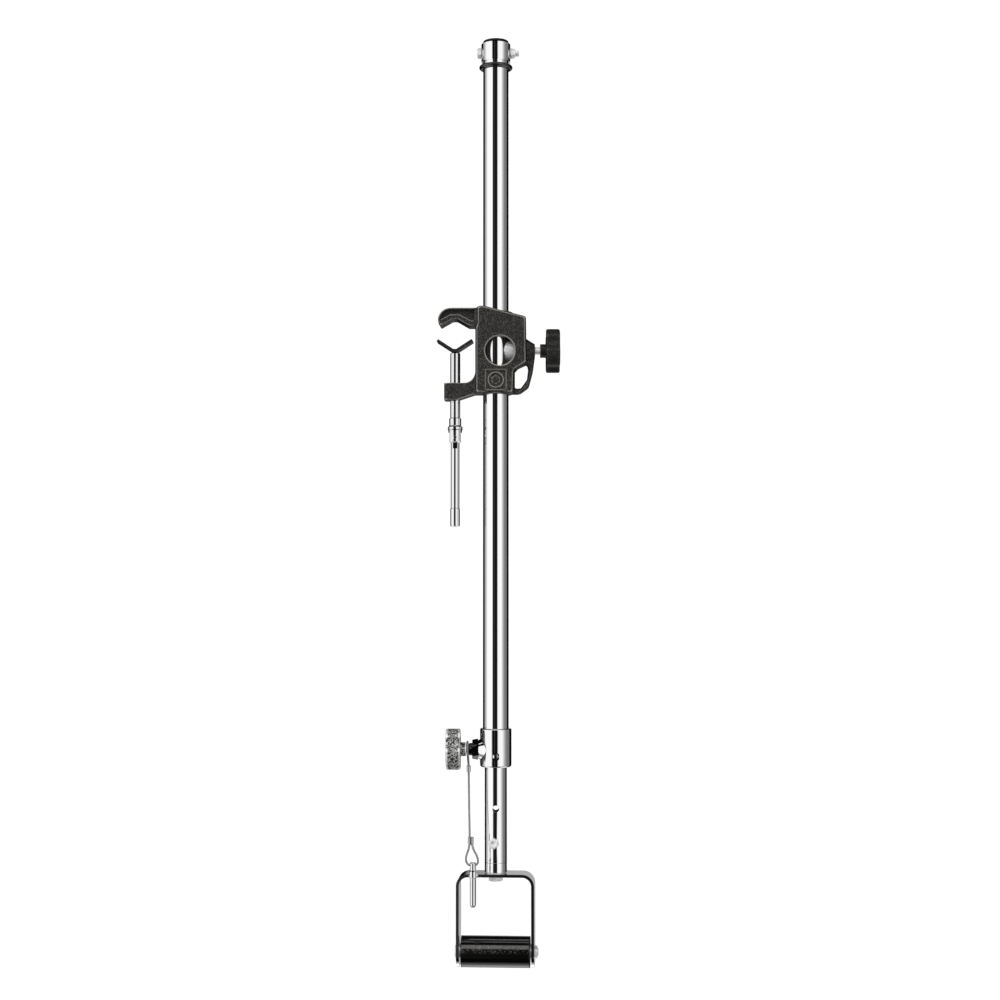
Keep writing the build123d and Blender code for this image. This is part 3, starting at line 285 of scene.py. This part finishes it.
def finish_crossbar(bar):
    """The crossbar's gloss paint, with a painted reflection and scuffs mottling a band along its upper front
    and back.
    """
    shader_of(bar).inputs["IOR"].default_value = 1.9
    tree = bar.node_tree
    scuffs_and_sheen = mapped(tree, grain(bar, 0.42, (0.8, 1, 1), detail=6.0), 0.48, 0.66, 0, 1)
    # the light tone is a painted reflection, mottled with scuffs, in the band above the crossbar's middle
    tint(bar, masked(bar, scuffs_and_sheen, reflection_and_scuff_band(bar)), (0.0025, 0.0024, 0.0022), (0.05, 0.048, 0.044))
    relief(bar, grain(bar, 0.2, (0.3, 1, 1)), 0.12, 0.25)


def finish_dark_steel(metal):
    """The uneven blackening of dark steel."""
    tint(metal, flecks(metal, 0.8, 0.45, 0.7), (0.02, 0.02, 0.02), (0.2, 0.2, 0.2))


def finish_wire(wire):
    """The mottled coat of the wire."""
    tint(wire, flecks(wire, 1.4, 0.35, 0.65), (0.1, 0.1, 0.1), (0.45, 0.45, 0.45))


def finish_guides(plastic):
    """The faint grain of the guide bushes."""
    relief(plastic, grain(plastic, 1.0), 0.02, 0.3)


finish_cast(MATERIALS["cast_black"])
finish_jaw_plate(MATERIALS["jaw_plate_black"])
finish_black_knob(MATERIALS["knob_black"])
finish_moulding(MATERIALS["plug_black"])
finish_silver_knob(MATERIALS["knob_silver"])
finish_pad(MATERIALS["pad_metal"])
finish_crossbar(MATERIALS["crossbar_black"])
finish_dark_steel(MATERIALS["dark_steel"])
finish_wire(MATERIALS["wire_grey"])
finish_guides(MATERIALS["guide_plastic"])
for entry in frame["record"]["subparts"]:
    mesh = nodes[entry["node"]].data
    mesh.materials.clear()
    mesh.materials.append(MATERIALS[entry["material_slot"]])


# ---- helpers for detail pieces -----------------------------------------------------------------------
def add_piece(name, data, node, smooth=True):
    """Puts a detail piece in the place of a plain node, on the same body and in the same slot."""
    slot = slot_of(node)
    piece = bpy.data.objects.new(name, data)
    bpy.context.scene.collection.objects.link(piece)
    data.materials.clear()
    data.materials.append(MATERIALS[slot])
    if smooth and hasattr(data, "polygons"):
        data.polygons.foreach_set("use_smooth", [True] * len(data.polygons))
    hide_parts(node)
    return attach(piece, body_of(node))


def turned(profile, segments, radius_at):
    """Closed mesh about its own Z. profile lists (height, radius), and radius_at trims a radius by angle."""
    bm = bmesh.new()
    rings = []
    for height, radius in profile:
        ring = []
        for i in range(segments):
            angle = 2 * math.pi * i / segments
            trimmed = radius_at(height, radius, angle)
            ring.append(bm.verts.new((trimmed * math.cos(angle), trimmed * math.sin(angle), height)))
        rings.append(ring)
    for low, high in zip(rings, rings[1:]):
        for i in range(segments):
            j = (i + 1) % segments
            bm.faces.new((low[i], low[j], high[j], high[i]))
    bm.faces.new(reversed(rings[0]))
    bm.faces.new(rings[-1])
    mesh = bpy.data.meshes.new("turned")
    bm.to_mesh(mesh)
    bm.free()
    return mesh


RINGS_PER_TURN = 8
FLANK_SLOPE, FLANK_DROP = 2.6, 0.8  # how steep the flanks are, and how far the flat root cuts into them


def thread(length, crest, root, pitch, end_chamfer, segments):
    """A right-hand threaded rod from z = 0 to its length, chamfered at both ends."""
    steps = round(length / pitch * RINGS_PER_TURN)

    def radius_at(height, radius, angle):
        phase = (height / pitch - angle / (2 * math.pi)) % 1
        rise = min(1.0, max(0.0, FLANK_SLOPE * abs(2 * phase - 1) - FLANK_DROP))
        flank = root + (radius - root) * rise
        end = min(height, length - height)
        return min(flank, radius - end_chamfer + end) if end < end_chamfer else flank

    return turned([(length * i / steps, crest) for i in range(steps + 1)], segments, radius_at)


def aimed(mesh, foot, along, turn=0.0):
    """Stands a turned mesh on a point, with its Z along a direction."""
    direction = Vector(along).normalized()
    stand = Vector((0, 0, 1)).rotation_difference(direction).to_matrix().to_4x4()
    mesh.transform(Matrix.Translation(foot) @ stand @ Matrix.Rotation(turn, 4, "Z"))
    return mesh


def hex_clip(across, angle):
    """Radius of a hexagon's outline at an angle."""
    sector = math.radians(60)
    return across / 2 / math.cos((angle % sector) - sector / 2)


CORNER = 0.575  # radius of a head's corners for each unit across its flats, a hair under a sharp hexagon's
SHANK_CHAMFER, CROWN, DISH_DEPTH = 0.6 * MM, 0.25 * MM, 0.3 * MM
SOCKET_DEPTH, SOCKET_FLOOR = 2.2 * MM, 2.6 * MM
SOCKET_REACH = 1.16  # of half a socket's width across flats: just past its corners, so that they stay sharp
HEAD_SEGMENTS = 60


def bolt_with_head(shank_r, shank_length, across, head_height, socket_across):
    """Hexagon bolt: its shank below z = 0, its crowned head above, and a socket if socket_across isn't 0."""
    corner, flat, ring = across * CORNER, across / 2, socket_across / 2
    profile = [
        (-shank_length, shank_r - SHANK_CHAMFER),
        (-shank_length + SHANK_CHAMFER, shank_r),
        (0, shank_r),
        (0, corner),
        (head_height * 0.82, corner),
        (head_height - CROWN, flat * 0.93),
        (head_height, flat * 0.84),
    ]
    if socket_across:
        profile += [
            (head_height, ring * 1.35),
            (head_height - CROWN, ring * SOCKET_REACH),
            (head_height - SOCKET_DEPTH, ring * SOCKET_REACH),
            (head_height - SOCKET_FLOOR, ring * 0.4),
        ]
    else:
        profile += [(head_height, across * 0.3), (head_height - DISH_DEPTH, across * 0.24)]

    def radius_at(height, radius, angle):
        if socket_across and radius <= ring * 1.2 and 0 < height < head_height:
            return min(radius, hex_clip(socket_across, angle))
        return min(radius, hex_clip(across, angle)) if height >= 0 and radius > shank_r else radius

    return turned(profile, HEAD_SEGMENTS, radius_at)


# ---- castings and mouldings with soft edges ----------------------------------------------------------
RIM_BEND = 0.12  # bend, in voxels, at which an edge shows its painted highlight and wear in full
BEND_PASSES = 2


def recast(name, node, voxel_mm, passes):
    """Remakes a casting with softly rounded edges and marks how convex it is at each point."""
    data = nodes[node].data.copy()
    piece = bpy.data.objects.new(name, data)
    bpy.context.scene.collection.objects.link(piece)
    shell = piece.modifiers.new("shell", "REMESH")
    shell.mode = "VOXEL"
    shell.voxel_size = voxel_mm * MM
    soften = piece.modifiers.new("soften", "SMOOTH")
    soften.factor = 0.5
    soften.iterations = passes
    bpy.context.view_layer.update()
    shape = bpy.data.meshes.new_from_object(piece.evaluated_get(bpy.context.evaluated_depsgraph_get()))
    bpy.data.objects.remove(piece)
    bm = bmesh.new()
    bm.from_mesh(shape)
    bm.normal_update()
    bend = []
    for vert in bm.verts:
        around = sum((edge.other_vert(vert).co for edge in vert.link_edges), Vector()) / len(vert.link_edges)
        bend.append((vert.co - around).dot(vert.normal) / (voxel_mm * MM))
    for _ in range(BEND_PASSES):
        bend = [
            (bend[v.index] + sum(bend[e.other_vert(v).index] for e in v.link_edges)) / (1 + len(v.link_edges))
            for v in bm.verts
        ]
    bm.free()
    rim = shape.attributes.new("rim", "FLOAT", "POINT")
    rim.data.foreach_set("value", [min(1.0, max(0.0, b / RIM_BEND)) for b in bend])
    return add_piece(name, shape, node)


recast("clamp_casting", "clamp_body", 0.75, 4)
recast("collar_knob_cast", "collar_knob", 0.5, 4)
recast("clamp_pad_turned", "clamp_pad", 0.4, 4)
recast("clamp_knob_moulded", "clamp_knob", 0.5, 5)


# ---- the jaw spindle's thread ------------------------------------------------------------------------
NECK_R, SPINDLE_R, SPINDLE_PITCH = 3.5 * MM, 7.0 * MM, 2.0 * MM
CREST_DEPTH, ROOT_DEPTH = 0.02 * MM, 0.08 * MM  # both below the plain spindle, so that it stays within it
SHOULDER_GAP = 0.1 * MM  # between the thread's top end and the V plate


def jaw_thread():
    """The jaw spindle's thread and the smooth neck on which the V plate turns."""
    low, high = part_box("jaw_screw")
    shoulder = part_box("jaw_v_plate")[0][2] - SHOULDER_GAP
    crest, root = SPINDLE_R - CREST_DEPTH, SPINDLE_R - ROOT_DEPTH
    mesh = thread(shoulder - low[2], crest, root, SPINDLE_PITCH, 1.0 * MM, 48)
    bm = bmesh.new()
    bm.from_mesh(mesh)
    bmesh.ops.translate(bm, verts=bm.verts, vec=(0, 0, low[2]))
    neck = bmesh.ops.create_cone(
        bm, cap_ends=True, segments=32, radius1=NECK_R, radius2=NECK_R, depth=high[2] - shoulder
    )
    bmesh.ops.translate(bm, verts=neck["verts"], vec=(0, 0, (high[2] + shoulder) / 2))
    bm.to_mesh(mesh)
    bm.free()
    return add_piece("jaw_screw_thread", mesh, "jaw_screw", smooth=False)


jaw_thread()


# ---- bolts with crowned heads, in millimetres ----------------------------------------------------------
M8, M12 = (4, 13, 5.3), (6, 19, 7)  # shank radius, width across flats and height of head
SWIVEL_SEAT = (TUBE_X, 0, -752.6)
TOP_SEAT = (35.4, 0, 370.6)
PLUG_BOLT_Z, PLUG_SEAT_R = -708, 15.1  # the second is how far the seat is from the tubes' axis
PLUG_TURN = math.radians(10)
PLUG_SOCKET = 6  # across flats


def remake_bolt(name, node, size, length, seat, along, turn=0.0, socket_across=0.0):
    """Replaces a plain bolt by one whose head stands on a seat and points along a direction."""
    shank_r, across, head = (part * MM for part in size)
    mesh = bolt_with_head(shank_r, length * MM, across, head, socket_across * MM)
    return add_piece(name, aimed(mesh, Vector(seat) * MM, along, turn), node, smooth=False)


remake_bolt("swivel_bolt_turned", "swivel_bolt", M12, 29.4, SWIVEL_SEAT, (0, 0, -1))
remake_bolt("top_bolt_turned", "top_bolt", M8, 52, TOP_SEAT, (-1, 0, 0))
facing = Vector((-math.sin(PLUG_TURN), -math.cos(PLUG_TURN), 0))
plug_seat = Vector((TUBE_X, 0, PLUG_BOLT_Z)) + facing * PLUG_SEAT_R
remake_bolt("plug_bolt_turned", "plug_bolt", M8, 37, plug_seat, facing, math.radians(30), PLUG_SOCKET)


# ---- the wire lanyard, in millimetres ----------------------------------------------------------------
EYE_Z = -735.7
WIRE_ROUTE = [
    (18.9, -1.55, -613.5),
    (18.7, -1.55, -604.0),
    (17.9, -8.6, -594.0),
    (17.1, -10.2, -582.5),
    (17.1, -5.2, -573.5),
    (17.1, 5.2, -573.5),
    (17.1, 10.2, -582.5),
    (17.9, 8.6, -594.0),
    (18.7, 1.55, -604.0),
    (18.9, 1.2, -615.0),
    (19.1, -1.2, -632.0),
    (19.6, -8.5, -660.0),
    (20.3, -15.6, -684.0),
    (20.5, -19.4, -698.0),
    (20.5, -21.2, -708.5),
    (18.6, -23.6, -716.5),
    (15.6, -25.2, -724.0),
    (15.9, -25.8, -731.5),
    (20.3, -25.8, EYE_Z),
    (28.9, -25.8, EYE_Z - 0.1),
    (32.4, -25.8, -731.0),
    (30.4, -25.2, -722.5),
    (26.2, -23.6, -716.0),
    (23.6, -21.2, -708.5),
    (23.6, -19.9, -701.0),
]
wire_data = bpy.data.curves.new("lanyard_wire_coated", "CURVE")
wire_data.dimensions = "3D"
wire_spline = wire_data.splines.new("NURBS")
wire_spline.points.add(len(WIRE_ROUTE) - 1)
for point, place in zip(wire_spline.points, WIRE_ROUTE):
    point.co = (*(c * MM for c in place), 1)
wire_spline.order_u = 3
wire_spline.use_endpoint_u = True
wire_spline.resolution_u = 12
wire_data.bevel_depth = 1.4 * MM
wire_data.bevel_resolution = 4
wire = add_piece("lanyard_wire_coated", wire_data, "lanyard_wire")

# ---- studio ------------------------------------------------------------------------------------------
FLOOR_Z, FLOOR_HALF = -1.25, 9.0
CAMERA_X, CAMERA_Z, CAMERA_REACH = 0.06115, -0.377, 2.5
CAMERA_PITCH = 3.0  # degrees upwards
FRAME_WIDTH = 1.36  # metres of the tube plane that the picture spans
SENSOR = 36  # millimetres
STUDIO_STRENGTH = 1.05
# bearing in degrees from the front, and how bright the walls are there
WALLS = [
    (-178, 0.3), (-175, 0.0), (-122, 0.0), (-118, 0.3), (-106, 0.42), (-90, 0.7), (-80, 1.0), (-33, 1.0),
    (-26, 0.0), (-15, 0.0), (-13, 0.035), (-8, 0.035), (-7, 0.008), (11, 0.0), (19, 0.95), (48, 1.0),
    (62, 0.6), (73, 0.34), (86, 0.2), (112, 0.16), (122, 0.0), (162, 0.0), (166, 0.42),
]
# how far a direction points to the front, from -1 to 1, and how bright the ceiling is there:
# dark behind, a strip just in front of the zenith, and a softbox low in front
CEILING = [(-1.0, 0.0), (0.0, 0.0), (0.04, 0.8), (0.16, 0.8), (0.2, 0.0), (0.5, 0.0), (0.6, 1.0)]
# the same for the ground: a lit sweep behind that fades to darkness in front
SWEEP = [(-0.96, 0.0), (-0.92, 1.3), (-0.32, 1.3), (-0.24, 0.8), (0.25, 0.1), (0.3, 0.0)]
CEILING_FROM, CEILING_FULL = 26, 32  # degrees above the horizon
GROUND_FROM, GROUND_FULL = -38, -46


def banded(tree, value, bands):
    """Gives each stretch of a world value from -1 to 1 its own brightness."""
    ramp = tree.nodes.new("ShaderNodeValToRGB")
    stops = ramp.color_ramp.elements
    while len(stops) < len(bands):
        stops.new(0.5)
    for stop, (place, level) in zip(stops, bands):
        stop.position = (place + 1) / 2
        stop.color = (level, level, level, 1)
    tree.links.new(mapped(tree, value, -1, 1, 0, 1), ramp.inputs["Fac"])
    return ramp.outputs["Color"]


def layered(tree, under, over, factor):
    """Lays one world brightness over another where the factor is 1."""
    mix = colour_mix(tree, factor)
    tree.links.new(under, mix.inputs["A"])
    tree.links.new(over, mix.inputs["B"])
    return mix.outputs["Result"]


def risen(tree, height, start, full):
    """Goes from 0 to 1 between two angles over the horizon, for the height of a direction."""
    return mapped(tree, height, math.sin(math.radians(start)), math.sin(math.radians(full)), 0, 1)


def make_world():
    """Plain white to the camera. To the object, a studio of bright walls, dark gaps and a softbox."""
    world = bpy.data.worlds.new("studio")
    bpy.context.scene.world = world
    world.use_nodes = True
    tree = world.node_tree
    coord = tree.nodes.new("ShaderNodeTexCoord")
    axes = tree.nodes.new("ShaderNodeSeparateXYZ")
    tree.links.new(coord.outputs["Generated"], axes.inputs["Vector"])
    forward = tree.nodes.new("ShaderNodeMath")
    forward.operation = "MULTIPLY"
    forward.inputs[1].default_value = -1.0
    tree.links.new(axes.outputs["Y"], forward.inputs[0])
    bearing = tree.nodes.new("ShaderNodeMath")
    bearing.operation = "ARCTAN2"
    tree.links.new(axes.outputs["X"], bearing.inputs[0])
    tree.links.new(forward.outputs["Value"], bearing.inputs[1])
    half_turns = mapped(tree, bearing.outputs["Value"], -math.pi, math.pi, -1, 1)
    room = banded(tree, half_turns, [(degrees / 180, level) for degrees, level in WALLS])
    ceiling = banded(tree, forward.outputs["Value"], CEILING)
    sweep = banded(tree, forward.outputs["Value"], SWEEP)
    up = risen(tree, axes.outputs["Z"], CEILING_FROM, CEILING_FULL)
    down = risen(tree, axes.outputs["Z"], GROUND_FROM, GROUND_FULL)
    lit = layered(tree, layered(tree, room, ceiling, up), sweep, down)
    light_path = tree.nodes.new("ShaderNodeLightPath")
    mix = colour_mix(tree, light_path.outputs["Is Camera Ray"])
    tree.links.new(lit, mix.inputs["A"])
    mix.inputs["B"].default_value = (1, 1, 1, 1)
    background = tree.nodes["Background"]
    tree.links.new(mix.outputs["Result"], background.inputs["Color"])
    background.inputs["Strength"].default_value = STUDIO_STRENGTH


def make_floor():
    """A plain pale floor that the object neither mirrors nor is lit by."""
    half = FLOOR_HALF
    corners = [(-half, -half, FLOOR_Z), (half, -half, FLOOR_Z), (half, half, FLOOR_Z), (-half, half, FLOOR_Z)]
    floor_mesh = bpy.data.meshes.new("floor")
    floor_mesh.from_pydata(corners, [], [(0, 1, 2, 3)])
    floor = bpy.data.objects.new("floor", floor_mesh)
    bpy.context.scene.collection.objects.link(floor)
    pale = principled("floor_pale", (0.9, 0.9, 0.9), 0.0, 0.9, specular=0.0)
    shader_of(pale).inputs["Emission Color"].default_value = (1, 1, 1, 1)
    shader_of(pale).inputs["Emission Strength"].default_value = 0.25
    floor_mesh.materials.append(pale)
    floor.visible_glossy = False
    floor.visible_diffuse = False


def make_sun(name, energy, width, turn):
    """A wide soft light that doesn't show in mirrors. width and turn are in degrees."""
    sun = bpy.data.lights.new(name, "SUN")
    sun.energy = energy
    sun.angle = math.radians(width)
    stand = bpy.data.objects.new(name, sun)
    stand.rotation_euler = [math.radians(angle) for angle in turn]
    stand.visible_glossy = False
    bpy.context.scene.collection.objects.link(stand)


def make_camera():
    """A camera in front of the object, a little below its middle and pitched up."""
    camera = bpy.data.cameras.new("camera")
    camera.sensor_width = SENSOR
    camera.lens = SENSOR * CAMERA_REACH / FRAME_WIDTH
    camera.clip_end = 100
    stand = bpy.data.objects.new("camera", camera)
    stand.location = (CAMERA_X, -CAMERA_REACH, CAMERA_Z)
    stand.rotation_euler = (math.radians(90 + CAMERA_PITCH), 0, 0)
    bpy.context.scene.collection.objects.link(stand)
    bpy.context.scene.camera = stand


make_world()
make_floor()
make_sun("soft_key", 2.4, 50, (38, -22, 0))
make_sun("front_fill", 0.9, 40, (82, 0, 8))
make_camera()
bpy.context.scene.view_settings.view_transform = "Standard"
